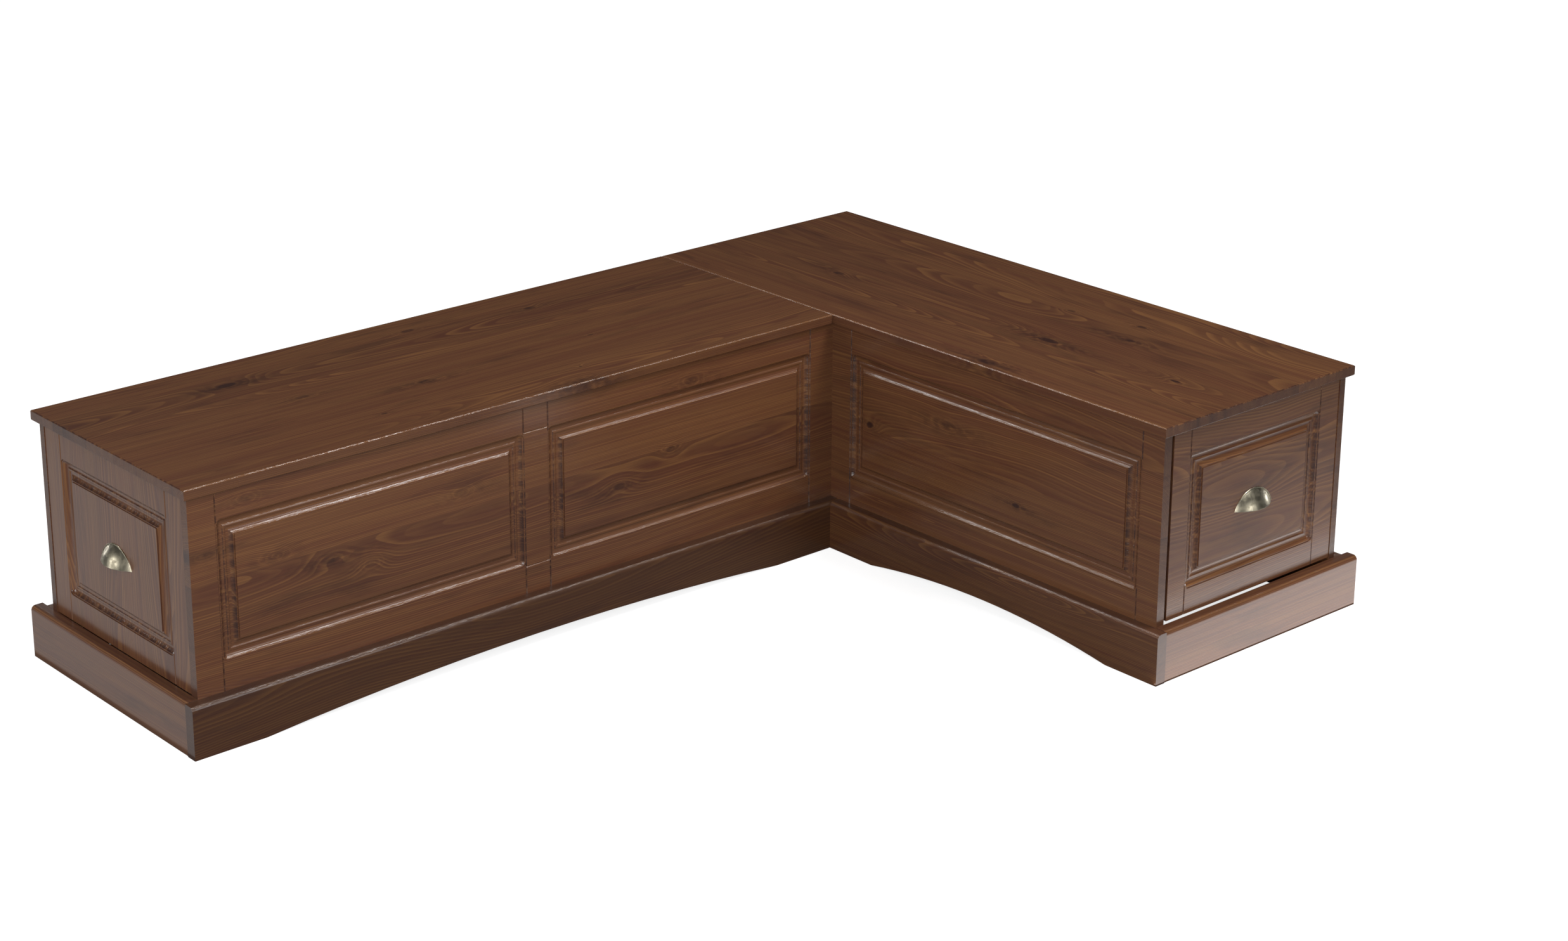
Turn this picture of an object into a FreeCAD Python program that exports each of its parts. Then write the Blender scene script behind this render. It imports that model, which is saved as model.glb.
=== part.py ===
import FreeCAD, Part
import math
import os
from dataclasses import dataclass

# Corner storage bench in stained pine: a long chest whose inner end butts against the front of
# a short chest, each with a fixed seat board, a routed front, a plinth and one drawer in its
# outer end. Millimetres, +Z up, long wing along X, origin on the floor under the middle of the
# overall box.
#
# Each chest is modelled in its own frame: u runs along the chest from the drawer end of its
# seat, v from the front edge of the seat to the back, z up from the floor.

Vec = FreeCAD.Vector
UP = Vec(0, 0, 1)

# Overall
HEIGHT = 450.0
SEAT_DEPTH = 490.0
LONG_SEAT = 1360.0
SHORT_WING = 800.0
SEAT_JOINT = 1.0

# Boards as planed
SEAT_T = 18.0
PANEL_T = 18.0
BACK_T = 14.0
PLINTH_T = 22.0

# How far the seat stands over the carcass
OVER_FRONT = 8.0
OVER_END = 8.0
OVER_BACK = 14.0
SEAT_ARRIS = 1.5

# Plinth
PLINTH_H = 93.0
PLINTH_DROP = 1.0
PLINTH_ROUND = 8.0
PLINTH_PROUD = 1.5
PLINTH_TAIL = 24.0
PANEL_IN_PLINTH = 58.0
ARCH_RISE = 24.0
LONG_FOOT = 132.0
SHORT_FOOT = 112.0

# Routed fields on the fronts
RAIL_TOP = 47.0
RAIL_BOTTOM = 49.0
LONG_END_STILE = 50.0
LONG_INNER_STILE = 56.0
SHORT_END_STILE = 47.0
SHORT_INNER_STILE = 50.0
MULLION = 52.0
DRAWER_STILE = 50.0

# Router profile: a quirk and land at each edge, two coves and a bead between them
RECESS_W = 33.0
RECESS_D = 6.2
LAND_W = 2.2
LAND_D = 1.6
BEAD_W = 6.0
BEAD_H = 1.4
CORNER_R = 10.0
GROOVE_W = 3.0
GROOVE_D = 1.6

# Drawers
DRAWER_SET_BACK = 1.0
DRAWER_SIDE_GAP = 1.5
SHORT_DRAWER_GAP = 7.0
DRAWER_FOOT_GAP = 4.0
LONG_DRAWER_FOOT_GAP = 1.0
DRAWER_HEAD_GAP = 3.0
BOX_L = 600.0
BOX_T = 12.0
BOX_SIDE_GAP = 3.0
BOX_LIFT = 18.0
BOX_HEAD_GAP = 4.0
BOX_BOTTOM_T = 6.0
BOX_BOTTOM_UP = 12.0
HOUSING_D = 6.0
HOUSING_PLAY = 0.3
TRAVEL = 400.0

# Battens, runners, rails and blocks
BATTEN = 20.0
RUNNER_W = 24.0
RUNNER_H = 22.0
RUNNER_INSET = 7.0
RUN_GAP = 0.3
STOP_GAP = 0.5
STOP_L = 20.0
STOP_H = 36.0
HALT_L = 35.0
HALT_W = 80.0
HALT_REACH = 6.0
RAIL_W = 30.0
RAIL_SET_BACK = 2.0
TIE_T = 22.0
TIE_H = 50.0
TIE_GAP = 4.0
BLOCK = 30.0
BLOCK_H = 70.0

# Cup pull
PULL_W = 93.0
PULL_H = 32.5
PULL_OUT = 21.0
PULL_T = 1.6
PULL_RIM = 1.5
PULL_RIM_T = 1.6
PULL_DROP = 13.0
PULL_CENTRES = 64.0
PULL_SCREW_UP = 17.0
PULL_FLANGE_UP = 12.5

# Screws and bolts
SCREW_R = 2.0
SCREW_HEAD_R = 4.0
SEAT_SCREW_BITE = 11.0
SEAT_SCREW_END = 60.0
FRONT_SCREW_L = 20.0
FRONT_SCREW_EDGE = 75.0
SCREW_HEAD_H = 2.6
BOLT_R = 4.0
BOLT_HEAD_R = 8.0
BOLT_HEAD_H = 4.5
BOLT_EDGE = 90.0
NUT_R = 7.5
NUT_H = 6.5
BOLT_TIP = 2.0

# Heights and depths that several pieces share
UNDER_SEAT = HEIGHT - SEAT_T
PANEL_FOOT = PLINTH_H - PANEL_IN_PLINTH
PANEL_H = UNDER_SEAT - PANEL_FOOT
FRONT_FACE = OVER_FRONT
INNER_FRONT = OVER_FRONT + PANEL_T
BACK_FACE = SEAT_DEPTH - OVER_BACK
INNER_BACK = BACK_FACE - BACK_T
BODY_END = OVER_END
PLINTH_OUT = PLINTH_T - OVER_END
PLINTH_FRONT_OUT = PLINTH_T - OVER_FRONT

DRAWER_FOOT = PLINTH_H + DRAWER_FOOT_GAP
DRAWER_HEAD = UNDER_SEAT - DRAWER_HEAD_GAP
DRAWER_FACE = BODY_END + DRAWER_SET_BACK
BOX_START = DRAWER_FACE + PANEL_T
BOX_END = BOX_START + BOX_L
BOX_FOOT = DRAWER_FOOT + BOX_LIFT
BOX_NEAR = INNER_FRONT + BOX_SIDE_GAP
BOX_FAR = INNER_BACK - BOX_SIDE_GAP
BATTEN_FOOT = UNDER_SEAT - BATTEN
BOX_HEAD = BATTEN_FOOT - BOX_HEAD_GAP
RUNNER_HEAD = BOX_FOOT - RUN_GAP
RUNNER_END = BOX_END + STOP_GAP + STOP_L
PULL_FOOT = (DRAWER_FOOT + DRAWER_HEAD) / 2 - PULL_DROP

# The row's origin, seen from the inner corner of the two seats
WEST = -LONG_SEAT - PLINTH_OUT - PLINTH_PROUD
SOUTH = -SHORT_WING - PLINTH_OUT - PLINTH_PROUD
NORTH_EAST = SEAT_DEPTH + PLINTH_TAIL
ORIGIN = Vec((WEST + NORTH_EAST) / 2, (SOUTH + NORTH_EAST) / 2, 0)


def block(u0, u1, v0, v1, z0, z1):
    """A square-edged piece of timber between three pairs of planes."""
    return Part.makeBox(u1 - u0, v1 - v0, z1 - z0, Vec(u0, v0, z0))


def prism(points, depth):
    """A closed outline of straight runs, extruded."""
    return Part.Face(Part.makePolygon(points + [points[0]])).extrude(depth)


def fused(pieces):
    """Pieces that are one solid on the real object."""
    whole = pieces[0].multiFuse(pieces[1:]) if len(pieces) > 1 else pieces[0]
    return whole.removeSplitter()


def arc_between(start, middle, end):
    """An edge through three points."""
    return Part.Arc(start, middle, end).toShape()


def recess_section():
    """Cross-section of the routed recess: x across it from the outer edge, z down from the face."""
    mid = RECESS_W / 2
    bead0 = mid - BEAD_W / 2
    bead1 = mid + BEAD_W / 2
    bend = (bead0 - LAND_W) * 0.3
    cove_mid = -LAND_D - (RECESS_D - LAND_D) * 0.72
    outer = [Vec(0, 0, 0), Vec(0, 0, -LAND_D), Vec(LAND_W, 0, -LAND_D)]
    inner = [Vec(RECESS_W - LAND_W, 0, -LAND_D), Vec(RECESS_W, 0, -LAND_D), Vec(RECESS_W, 0, 0)]
    left, right = Vec(bead0, 0, -RECESS_D), Vec(bead1, 0, -RECESS_D)
    edges = Part.makePolygon(outer).Edges
    edges.append(arc_between(outer[-1], Vec(LAND_W + bend, 0, cove_mid), left))
    edges.append(arc_between(left, Vec(mid, 0, BEAD_H - RECESS_D), right))
    edges.append(arc_between(right, Vec(RECESS_W - LAND_W - bend, 0, cove_mid), inner[0]))
    edges += Part.makePolygon(inner + [outer[0]]).Edges
    return Part.Face(Part.Wire(edges))


def recess_run(length):
    """One straight run of the recess along x: mitred inside, square where the corner turns."""
    section = recess_section()
    section.rotate(Vec(0, 0, 0), UP, 90)
    bar = section.extrude(Vec(length, 0, 0))
    plan = [
        Vec(CORNER_R, 0, -RECESS_D * 2),
        Vec(length - CORNER_R, 0, -RECESS_D * 2),
        Vec(length - CORNER_R, CORNER_R, -RECESS_D * 2),
        Vec(length - RECESS_W, RECESS_W, -RECESS_D * 2),
        Vec(RECESS_W, RECESS_W, -RECESS_D * 2),
        Vec(CORNER_R, CORNER_R, -RECESS_D * 2),
    ]
    return bar.common(prism(plan, Vec(0, 0, RECESS_D * 3)))


def recess_corner():
    """The turned outer corner of the recess, about the point where the mitre starts."""
    outer = recess_section().common(block(0, CORNER_R, -1, 1, -RECESS_D * 2, 1))
    return outer.revolve(Vec(CORNER_R, 0, 0), UP, 90)


def routed_field(x0, x1, y0, y1):
    """Everything the router takes out round one raised field, on a board lying face up."""
    width, height = x1 - x0, y1 - y0
    cuts = []
    for length, turn, at in (
        (width, 0, Vec(x0, y0, 0)),
        (height, 90, Vec(x1, y0, 0)),
        (width, 180, Vec(x1, y1, 0)),
        (height, 270, Vec(x0, y1, 0)),
    ):
        for piece in (recess_run(length), quarter_at_start()):
            piece.rotate(Vec(0, 0, 0), UP, turn)
            piece.translate(at)
            cuts.append(piece)
    return cuts


def quarter_at_start():
    """The turned corner, set at the start of a run along x."""
    corner = recess_corner()
    corner.translate(Vec(0, CORNER_R, 0))
    return corner


def groove(start, end):
    """A fine V-groove between two points of a board lying face up."""
    along = end - start
    across = UP.cross(along).normalize() * (GROOVE_W / 2)
    lift = UP * GROOVE_D
    return prism([start - across * 2 + lift, start + across * 2 + lift, start - lift], along)


def board(length, height, thickness):
    """A board lying face up, its face in the plane z = 0."""
    return Part.makeBox(length, height, thickness, Vec(0, 0, -thickness))


def stand_front(shape, u, v, z):
    """Stands a face-up board up as a front: x along u, y up, the face towards -v."""
    shape.rotate(Vec(0, 0, 0), Vec(1, 0, 0), 90)
    shape.translate(Vec(u, v, z))
    return shape


def stand_end(shape, u, v, z):
    """Stands a face-up board up as an end: x along -v, y up, the face towards -u."""
    shape.rotate(Vec(0, 0, 0), Vec(1, 0, 0), 90)
    shape.rotate(Vec(0, 0, 0), UP, -90)
    shape.translate(Vec(u, v, z))
    return shape


def eased(shape, size, chosen):
    """Takes a small flat off the edges that `chosen` accepts."""
    return shape.makeChamfer(size, [edge for edge in shape.Edges if chosen(edge)])


def rounded(shape, radius, chosen):
    """Rounds over the edges that `chosen` accepts."""
    return shape.makeFillet(radius, [edge for edge in shape.Edges if chosen(edge)])


def at_height(edge, z):
    """True for an edge that lies level at the height z."""
    box = edge.BoundBox
    return abs(box.ZMin - z) < 1e-3 and abs(box.ZMax - z) < 1e-3


def hexagon(at, direction, radius, length):
    """A six-sided bar from `at`, its corners at `radius` from the line along `direction`."""
    level = direction.cross(UP if abs(direction.z) < 0.5 else Vec(1, 0, 0)).normalize()
    other = direction.cross(level)
    turns = [math.radians(60 * i) for i in range(6)]
    corners = [at + level * (radius * math.cos(a)) + other * (radius * math.sin(a)) for a in turns]
    return prism(corners, direction * length)


def screw(at, direction, radius, length, head_r, head_h):
    """A screw or bolt with a low six-sided head that sits on the face at `at`."""
    shank = Part.makeCylinder(radius, length, at, direction)
    head = hexagon(at - direction * head_h, direction, head_r, head_h)
    return fused([shank, head])


def spread(first, last, count):
    """`count` even places from first to last."""
    return [first + (last - first) * i / (count - 1) for i in range(count)]


@dataclass
class Chest:
    """One chest of the bench, with the sizes that set it apart from the other one."""

    name: str
    seat_length: float
    seat_cut: float
    body_length: float
    fields: tuple
    arch: tuple
    plinth_stop: float
    drawer_gap: float
    foot_gap: float
    ties: tuple
    seat_screws: int
    has_far_plinth: bool

    @property
    def body_far(self):
        """Outer face of the inner or far end panel."""
        return BODY_END + self.body_length

    def seat_board(self):
        """The fixed seat, with its arrises taken off and pilot holes for the screws below."""
        end = self.seat_length - self.seat_cut
        seat = block(0, end, 0, SEAT_DEPTH, UNDER_SEAT, HEIGHT)
        seat = eased(seat, SEAT_ARRIS, lambda e: at_height(e, HEIGHT) or at_height(e, UNDER_SEAT))
        return seat.cut(Part.makeCompound(self.seat_screw_list()))

    def front_panel(self):
        """The milled front: raised fields, upright grooves beside them, level ones between."""
        panel = board(self.body_length, PANEL_H, PANEL_T)
        low = PLINTH_H + RAIL_BOTTOM - PANEL_FOOT
        high = PANEL_H - RAIL_TOP
        cuts = []
        for x0, x1 in self.fields:
            cuts += routed_field(x0, x1, low, high)
            cuts += [groove(Vec(x, 0, 0), Vec(x, PANEL_H, 0)) for x in (x0, x1)]
        for (_, x0), (x1, _) in zip(self.fields, self.fields[1:]):
            cuts += [groove(Vec(x0, y, 0), Vec(x1, y, 0)) for y in (low, high)]
        panel = panel.cut(Part.makeCompound(cuts))
        return stand_front(panel, BODY_END, FRONT_FACE, PANEL_FOOT)

    def back_panel(self):
        """The plain back, reaching down behind the rear plinth."""
        return block(BODY_END, self.body_far, INNER_BACK, BACK_FACE, PANEL_FOOT, UNDER_SEAT)

    def end_panel(self):
        """The end away from the drawer, between front and back."""
        inner = self.body_far - PANEL_T
        return block(inner, self.body_far, INNER_FRONT, INNER_BACK, PANEL_FOOT, UNDER_SEAT)

    def front_plinth(self):
        """The arched front plinth board, its end grain showing at the outer corner."""
        top = PLINTH_H - PLINTH_DROP
        start, stop = -PLINTH_OUT - PLINTH_PROUD, self.plinth_stop
        plank = block(start, stop, -PLINTH_FRONT_OUT, FRONT_FACE, 0, top)
        plank = rounded(plank, PLINTH_ROUND, lambda e: at_height(e, top)
                        and e.BoundBox.YMax < 0)
        first, last = self.arch
        ends = Vec(first, -PLINTH_T, 0), Vec(last, -PLINTH_T, 0)
        crown = Vec((first + last) / 2, -PLINTH_T, ARCH_RISE)
        outline = Part.Wire([arc_between(ends[0], crown, ends[1]), Part.makeLine(*reversed(ends))])
        return plank.cut(Part.Face(outline).extrude(Vec(0, PLINTH_T * 2, 0)))

    def end_plinth(self):
        """The plinth board across the drawer end, running on behind the chest."""
        plank = block(-PLINTH_OUT, BODY_END, FRONT_FACE, SEAT_DEPTH + PLINTH_TAIL, 0, PLINTH_H)
        return rounded(plank, PLINTH_ROUND, lambda e: at_height(e, PLINTH_H)
                       and e.BoundBox.XMax < 0)

    def rear_plinth(self):
        """The plain plinth board behind the back."""
        stop = self.body_far + (PLINTH_T if self.has_far_plinth else 0)
        return block(BODY_END, stop, BACK_FACE, BACK_FACE + PLINTH_T, 0, PLINTH_H)

    def far_plinth(self):
        """The plinth board across the far end, which stands in the corner of the room."""
        return block(self.body_far, self.body_far + PLINTH_T, FRONT_FACE, BACK_FACE, 0, PLINTH_H)

    def batten(self, near):
        """A batten under the seat along the front or the back, bored for the seat screws."""
        v0 = INNER_FRONT if near else INNER_BACK - BATTEN
        start, stop = BOX_START + RAIL_SET_BACK, self.body_far - PANEL_T
        piece = block(start, stop, v0, v0 + BATTEN, BATTEN_FOOT, UNDER_SEAT)
        return piece.cut(Part.makeCompound(self.seat_screw_list()))

    def seat_rails(self):
        """Rails across under the seat: one over the drawer front, the others spread evenly."""
        first = BOX_START + RAIL_SET_BACK
        last = self.body_far - PANEL_T - RAIL_W
        count = 2 + round((last - first) / (LONG_SEAT / 4))
        rails = [
            block(u, u + RAIL_W, INNER_FRONT + BATTEN, INNER_BACK - BATTEN, BATTEN_FOOT, UNDER_SEAT)
            for u in spread(first, last, count)
            if not self.halt_start() - RAIL_W < u < self.halt_start() + HALT_L
        ]
        return Part.makeCompound(rails)

    def tie_rails(self):
        """Low rails that hold front and back apart behind the drawer."""
        ties = [
            block(u, u + TIE_T, INNER_FRONT, INNER_BACK, PANEL_FOOT, PANEL_FOOT + TIE_H)
            for u in self.ties
        ]
        return Part.makeCompound(ties)

    def corner_blocks(self):
        """Glued blocks that stand on the floor inside the four corners."""
        us = (BODY_END, self.body_far - PANEL_T - BLOCK)
        vs = (INNER_FRONT, INNER_BACK - BLOCK)
        return Part.makeCompound(
            [block(u, u + BLOCK, v, v + BLOCK, 0, BLOCK_H) for u in us for v in vs])

    def runner(self, near):
        """A runner under one side of the drawer."""
        v0 = INNER_FRONT if near else INNER_BACK - RUNNER_W
        start, low = BOX_START + RUNNER_INSET, RUNNER_HEAD - RUNNER_H
        return block(start, RUNNER_END, v0, v0 + RUNNER_W, low, RUNNER_HEAD)

    def drawer_stops(self):
        """Two blocks on the runners' ends that the closed drawer meets."""
        u0, u1 = RUNNER_END - STOP_L, RUNNER_END
        v_pairs = ((INNER_FRONT, INNER_FRONT + RUNNER_W), (INNER_BACK - RUNNER_W, INNER_BACK))
        return Part.makeCompound(
            [block(u0, u1, v0, v1, RUNNER_HEAD, RUNNER_HEAD + STOP_H) for v0, v1 in v_pairs])

    def halt_start(self):
        """Where the block under the seat begins that keeps the drawer from falling out."""
        return BOX_END - BOX_T - TRAVEL - STOP_GAP - HALT_L

    def drawer_halt(self):
        """The block under the seat that the open drawer's back meets."""
        u, low = self.halt_start(), BOX_HEAD - HALT_REACH
        mid = (INNER_FRONT + INNER_BACK) / 2
        return block(u, u + HALT_L, mid - HALT_W / 2, mid + HALT_W / 2, low, UNDER_SEAT)

    def drawer_edges(self):
        """The two upright edges of the drawer front, near and far."""
        return INNER_FRONT + self.drawer_gap, INNER_BACK - DRAWER_SIDE_GAP

    def pull_middle(self):
        """Middle of the routed field, where the pull sits."""
        return (INNER_FRONT + INNER_BACK) / 2

    def drawer_front(self):
        """The drawer front: one raised field and the two upright grooves beside it."""
        near, far = self.drawer_edges()
        foot = PLINTH_H + self.foot_gap
        low = PLINTH_H + RAIL_BOTTOM - foot
        high = UNDER_SEAT - RAIL_TOP - foot
        x0 = far - (INNER_BACK - DRAWER_STILE)
        x1 = far - (INNER_FRONT + DRAWER_STILE)
        height = DRAWER_HEAD - foot
        panel = board(far - near, height, PANEL_T)
        cuts = routed_field(x0, x1, low, high)
        cuts += [groove(Vec(x, 0, 0), Vec(x, height, 0)) for x in (x0, x1)]
        panel = panel.cut(Part.makeCompound(cuts))
        panel = stand_end(panel, DRAWER_FACE, far, foot)
        return panel.cut(Part.makeCompound(self.pull_screw_list() + self.front_screw_list()))

    def box_bottom_span(self):
        """Height of the underside of the drawer bottom."""
        return BOX_FOOT + BOX_BOTTOM_UP

    def drawer_side(self, near):
        """A drawer side with the housing that holds the drawer bottom."""
        v0, v1 = (BOX_NEAR, BOX_NEAR + BOX_T) if near else (BOX_FAR - BOX_T, BOX_FAR)
        side = block(BOX_START, BOX_END, v0, v1, BOX_FOOT, BOX_HEAD)
        return side.cut(self.bottom_housing())

    def bottom_housing(self):
        """The space that the housings leave for the drawer bottom."""
        low = self.box_bottom_span()
        return block(BOX_START + BOX_T - HOUSING_D, BOX_END, BOX_NEAR + BOX_T - HOUSING_D,
                     BOX_FAR - BOX_T + HOUSING_D, low, low + BOX_BOTTOM_T)

    def drawer_bottom(self):
        """The plywood bottom, sliding in its housings under the drawer back."""
        low = self.box_bottom_span()
        return block(BOX_START + BOX_T - HOUSING_D + HOUSING_PLAY, BOX_END,
                     BOX_NEAR + BOX_T - HOUSING_D + HOUSING_PLAY,
                     BOX_FAR - BOX_T + HOUSING_D - HOUSING_PLAY, low, low + BOX_BOTTOM_T)

    def drawer_box_front(self):
        """The inner front of the drawer box, screwed to the drawer front."""
        inner = block(BOX_START, BOX_START + BOX_T, BOX_NEAR + BOX_T, BOX_FAR - BOX_T,
                      BOX_FOOT, BOX_HEAD)
        inner = inner.cut(self.bottom_housing())
        return inner.cut(Part.makeCompound(self.pull_screw_list() + self.front_screw_list()))

    def drawer_back(self):
        """The drawer back, standing on the drawer bottom."""
        low = self.box_bottom_span() + BOX_BOTTOM_T
        return block(BOX_END - BOX_T, BOX_END, BOX_NEAR + BOX_T, BOX_FAR - BOX_T, low, BOX_HEAD)

    def cup_pull(self):
        """The cup pull: a dome of thin metal, open below, on a flange with two threaded holes."""
        at = Vec(DRAWER_FACE, self.pull_middle(), PULL_FOOT)
        dome = dome_body(at, 0).cut(dome_body(at, PULL_T))
        pull = fused([dome, pull_flange(at)])
        return pull.cut(Part.makeCompound(self.pull_screw_list()))

    def pull_screw_list(self):
        """Machine screws from inside the drawer into the flange of the pull."""
        reach = BOX_T + PANEL_T + PULL_RIM_T
        start, mid = BOX_START + BOX_T, self.pull_middle()
        return [
            screw(Vec(start, v, PULL_FOOT + PULL_SCREW_UP), Vec(-1, 0, 0), SCREW_R, reach,
                  SCREW_HEAD_R, SCREW_HEAD_H)
            for v in (mid - PULL_CENTRES / 2, mid + PULL_CENTRES / 2)
        ]

    def front_screw_list(self):
        """Two screws from inside the drawer box into the drawer front, beside the pull."""
        vs = (BOX_NEAR + BOX_T + FRONT_SCREW_EDGE, BOX_FAR - BOX_T - FRONT_SCREW_EDGE)
        start, z = BOX_START + BOX_T, (BOX_FOOT + BOX_HEAD) / 2
        return [
            screw(Vec(start, v, z), Vec(-1, 0, 0), SCREW_R, FRONT_SCREW_L, SCREW_HEAD_R, SCREW_HEAD_H)
            for v in vs
        ]

    def seat_screw_list(self):
        """Screws up through the battens into the seat."""
        vs = (INNER_FRONT + BATTEN / 2, INNER_BACK - BATTEN / 2)
        first = BOX_START + SEAT_SCREW_END
        last = self.body_far - PANEL_T - SEAT_SCREW_END
        us = spread(first, last, self.seat_screws)
        reach = BATTEN + SEAT_SCREW_BITE
        return [
            screw(Vec(u, v, BATTEN_FOOT), UP, SCREW_R, reach, SCREW_HEAD_R, SCREW_HEAD_H)
            for v in vs
            for u in us
        ]

    def pieces(self):
        """Every node of this chest by name."""
        nodes = {
            "seat_board": self.seat_board(),
            "front_panel": self.front_panel(),
            "back_panel": self.back_panel(),
            "end_panel": self.end_panel(),
            "front_plinth": self.front_plinth(),
            "end_plinth": self.end_plinth(),
            "rear_plinth": self.rear_plinth(),
            "front_batten": self.batten(True),
            "back_batten": self.batten(False),
            "seat_rails": self.seat_rails(),
            "tie_rails": self.tie_rails(),
            "corner_blocks": self.corner_blocks(),
            "front_runner": self.runner(True),
            "back_runner": self.runner(False),
            "drawer_stops": self.drawer_stops(),
            "drawer_halt": self.drawer_halt(),
            "seat_screws": Part.makeCompound(self.seat_screw_list()),
            "drawer_front": self.drawer_front(),
            "drawer_box_front": self.drawer_box_front(),
            "drawer_near_side": self.drawer_side(True),
            "drawer_far_side": self.drawer_side(False),
            "drawer_back": self.drawer_back(),
            "drawer_bottom": self.drawer_bottom(),
            "cup_pull": self.cup_pull(),
            "pull_screws": Part.makeCompound(self.pull_screw_list()),
            "drawer_front_screws": Part.makeCompound(self.front_screw_list()),
        }
        if self.has_far_plinth:
            nodes["far_plinth"] = self.far_plinth()
        return {f"{self.name}_{key}": shape for key, shape in nodes.items()}


def dome_sphere(shrink):
    """Centre and radius of the ball that the pull's dome is cut from, seen from the pull's foot.

    The ball stands partly behind the drawer front and partly below the foot, so that the dome is
    as wide, as high and as deep as the pull.
    """
    half_w = PULL_W / 2
    below = (half_w ** 2 - PULL_H ** 2) / (2 * PULL_H)
    behind = (half_w ** 2 - PULL_OUT ** 2) / (2 * PULL_OUT)
    radius = Vec(behind, 0, PULL_H + below).Length
    return Vec(behind, 0, -below), radius - shrink


def dome_body(at, shrink):
    """The solid dome on the drawer front, smaller by `shrink` all round."""
    centre, radius = dome_sphere(shrink)
    ball = Part.makeSphere(radius, centre)
    return ball.common(block(-radius, 0, -radius, radius, 0, radius)).translated(at)


def pull_flange(at):
    """The flat metal on the drawer front: a rim round the dome and a half moon inside its top."""
    centre, _ = dome_sphere(0)
    foot = Vec(0, 0, centre.z)
    edge = PULL_H - centre.z + PULL_RIM
    disc = Part.makeCylinder(edge, PULL_RIM_T, foot, Vec(-1, 0, 0))
    disc = disc.common(block(-PULL_OUT, 0, -PULL_W, PULL_W, 0, PULL_H * 2)).translated(at)
    below = block(-PULL_OUT, 0, -PULL_W, PULL_W, 0, PULL_FLANGE_UP).translated(at)
    return disc.cut(dome_body(at, PULL_T).common(below))


def long_chest():
    """The long chest, from its drawer end to the front of the short one."""
    body = LONG_SEAT - OVER_END + OVER_FRONT
    first = LONG_END_STILE
    last = body - LONG_INNER_STILE
    field = (last - first - MULLION) / 2
    return Chest(
        name="long",
        seat_length=LONG_SEAT,
        seat_cut=SEAT_JOINT,
        body_length=body,
        fields=((first, first + field), (last - field, last)),
        arch=(-PLINTH_OUT + LONG_FOOT, LONG_SEAT - PLINTH_FRONT_OUT - LONG_FOOT),
        plinth_stop=BODY_END + body,
        drawer_gap=DRAWER_SIDE_GAP,
        foot_gap=LONG_DRAWER_FOOT_GAP,
        ties=(RUNNER_END + TIE_GAP, (RUNNER_END + BODY_END + body) / 2),
        seat_screws=2,
        has_far_plinth=False,
    )


def short_chest():
    """The short chest, from its drawer end into the corner of the room."""
    seat = SHORT_WING + SEAT_DEPTH
    corner = SHORT_WING + OVER_FRONT - BODY_END
    return Chest(
        name="short",
        seat_length=seat,
        seat_cut=0.0,
        body_length=seat - 2 * OVER_END,
        fields=((SHORT_END_STILE, corner - SHORT_INNER_STILE),),
        arch=(-PLINTH_OUT + SHORT_FOOT, SHORT_WING - PLINTH_FRONT_OUT - SHORT_FOOT),
        plinth_stop=SHORT_WING - PLINTH_FRONT_OUT,
        drawer_gap=SHORT_DRAWER_GAP,
        foot_gap=DRAWER_FOOT_GAP,
        ties=(RUNNER_END + TIE_GAP, (RUNNER_END + seat) / 2),
        seat_screws=2,
        has_far_plinth=True,
    )


def long_to_row(shape):
    """Moves a piece of the long chest from its own frame into the row's."""
    return shape.translated(Vec(-LONG_SEAT, 0, 0) - ORIGIN)


def short_to_row(shape):
    """Mirrors a piece of the short chest into place: its u runs along +Y, its v along +X."""
    turned = shape.mirror(Vec(0, 0, 0), Vec(1, -1, 0))
    return turned.translated(Vec(0, -SHORT_WING, 0) - ORIGIN)


def chest_bolts():
    """The bolts through the long chest's end and the short chest's front, in the row's frame."""
    places = joint_places()
    grip = 2 * PANEL_T
    return [
        screw(at - Vec(PANEL_T, 0, 0), Vec(1, 0, 0), BOLT_R, grip + NUT_H + BOLT_TIP,
              BOLT_HEAD_R, BOLT_HEAD_H)
        for at in places
    ]


def chest_nuts():
    """The hexagon nuts inside the short chest."""
    along = Vec(1, 0, 0)
    starts = [at + Vec(PANEL_T, 0, 0) for at in joint_places()]
    return [
        hexagon(start, along, NUT_R, NUT_H).cut(Part.makeCylinder(BOLT_R, NUT_H, start, along))
        for start in starts
    ]


def joint_places():
    """Where the bolts cross the face at which the two chests meet."""
    mid_height = (PANEL_FOOT + UNDER_SEAT) / 2
    ys = (INNER_FRONT + BOLT_EDGE, INNER_BACK - BOLT_EDGE)
    return [Vec(FRONT_FACE, y, mid_height) - ORIGIN for y in ys]


def main():
    """Builds both chests and writes each node."""
    os.makedirs("parts", exist_ok=True)
    nodes = {name: long_to_row(shape) for name, shape in long_chest().pieces().items()}
    nodes.update({name: short_to_row(shape) for name, shape in short_chest().pieces().items()})
    bolts = Part.makeCompound(chest_bolts())
    for name in ("long_end_panel", "short_front_panel"):
        nodes[name] = nodes[name].cut(bolts)
    nodes["chest_bolts"] = bolts
    nodes["chest_nuts"] = Part.makeCompound(chest_nuts())
    for name, shape in nodes.items():
        shape.exportStep(f"parts/{name}.step")
        print(name, len(shape.Solids), round(shape.Volume / 1000, 1), shape.isValid())


main()
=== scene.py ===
import logging
import math
from dataclasses import dataclass, replace
from enum import Enum
from typing import ClassVar, Sequence, Union

import bmesh
import bpy
from mathutils import Matrix, Vector


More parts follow.
